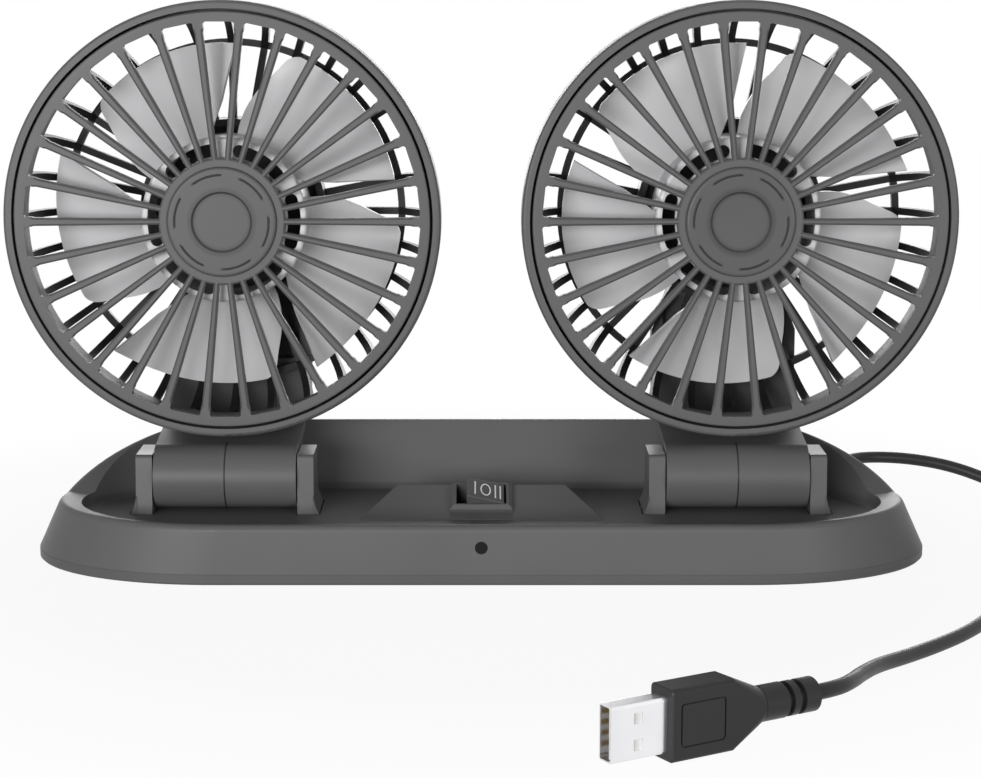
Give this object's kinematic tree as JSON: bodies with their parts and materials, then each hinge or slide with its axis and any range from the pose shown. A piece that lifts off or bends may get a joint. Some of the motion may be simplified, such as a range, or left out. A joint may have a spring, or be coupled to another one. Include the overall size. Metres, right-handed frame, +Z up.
{
  "type": "dual-head car fan",
  "caption": "Caged bladed fans side by side on tilting arms over a tray-shaped base with a rocker switch, a tied cord and a USB plug.",
  "frame": {"origin": "middle of the fan's width and depth, without the free cord, at the underside of its feet", "axes": "+X to the fan's right as seen from the front, +Y to the back, +Z up; the grilles face -Y"},
  "size_m": [0.3447, 0.2434, 0.154],
  "materials": {
    "grey_plastic": "moulded satin grey",
    "cap_plastic": "moulded satin grey",
    "dark_plastic": "moulded dark grey",
    "rocker_plastic": "moulded near black",
    "blade_plastic": "light grey, slightly glossy",
    "steel": "plated steel",
    "washer_nylon": "white nylon",
    "rubber": "matt black",
    "black_moulding": "black flexible moulding",
    "board_green": "solder mask",
    "component_black": "moulded packages",
    "brass": "plated contacts",
    "lens_dark": "dark tinted lens"
  },
  "bodies": {
    "base": {"left_hinge_bracket": "grey_plastic", "right_hinge_bracket": "grey_plastic", "base_top_shell": "grey_plastic", "base_bottom_plate": "dark_plastic", "switch_housing": "dark_plastic", "left_hinge_pin": "steel", "right_hinge_pin": "steel", "left_bracket_screws": "steel", "right_bracket_screws": "steel", "base_screws": "steel", "board_screws": "steel", "plug_shell": "steel", "plug_tongue": "washer_nylon", "anti_slip_feet": "rubber", "cord_boot": "black_moulding", "cord_out": "black_moulding", "cord_coil": "black_moulding", "cord_back": "black_moulding", "coil_tie": "black_moulding", "plug_grip": "black_moulding", "control_board": "board_green", "board_components": "component_black", "switch_terminals": "brass", "plug_contacts": "brass", "indicator_lens": "lens_dark"},
    "left_head": {"left_arm_left_half": "grey_plastic", "left_arm_right_half": "grey_plastic", "left_arm_screws": "steel", "left_friction_washers": "washer_nylon", "left_rear_cage": "grey_plastic", "left_front_grille": "grey_plastic", "left_hub_cap": "cap_plastic", "left_motor": "steel", "left_motor_screws": "steel"},
    "right_head": {"right_arm_left_half": "grey_plastic", "right_arm_right_half": "grey_plastic", "right_arm_screws": "steel", "right_friction_washers": "washer_nylon", "right_rear_cage": "grey_plastic", "right_front_grille": "grey_plastic", "right_hub_cap": "cap_plastic", "right_motor": "steel", "right_motor_screws": "steel"},
    "left_rotor_body": {"left_rotor": "blade_plastic", "left_motor_shaft": "steel"},
    "right_rotor_body": {"right_rotor": "blade_plastic", "right_motor_shaft": "steel"},
    "rocker": {"switch_rocker": "rocker_plastic"}
  },
  "joints": [
    {"name": "left_head_tilt", "type": "hinge", "parent": "base", "child": "left_head", "pos_m": [-0.07105, -0.0035, 0.0228], "axis": [1, 0, 0], "range_deg": [0, 90]},
    {"name": "left_rotor_spin", "type": "hinge", "parent": "left_head", "child": "left_rotor_body", "pos_m": [-0.07105, 0, 0.094], "axis": [0, 1, 0], "continuous": true},
    {"name": "right_head_tilt", "type": "hinge", "parent": "base", "child": "right_head", "pos_m": [0.07105, -0.0035, 0.0228], "axis": [1, 0, 0], "range_deg": [0, 90]},
    {"name": "right_rotor_spin", "type": "hinge", "parent": "right_head", "child": "right_rotor_body", "pos_m": [0.07105, 0, 0.094], "axis": [0, 1, 0], "continuous": true},
    {"name": "switch_rock", "type": "hinge", "parent": "base", "child": "rocker", "pos_m": [0, -0.01016, 0.01594], "axis": [0, -0.9245, -0.3811], "range_deg": [0, 28]}
  ]
}
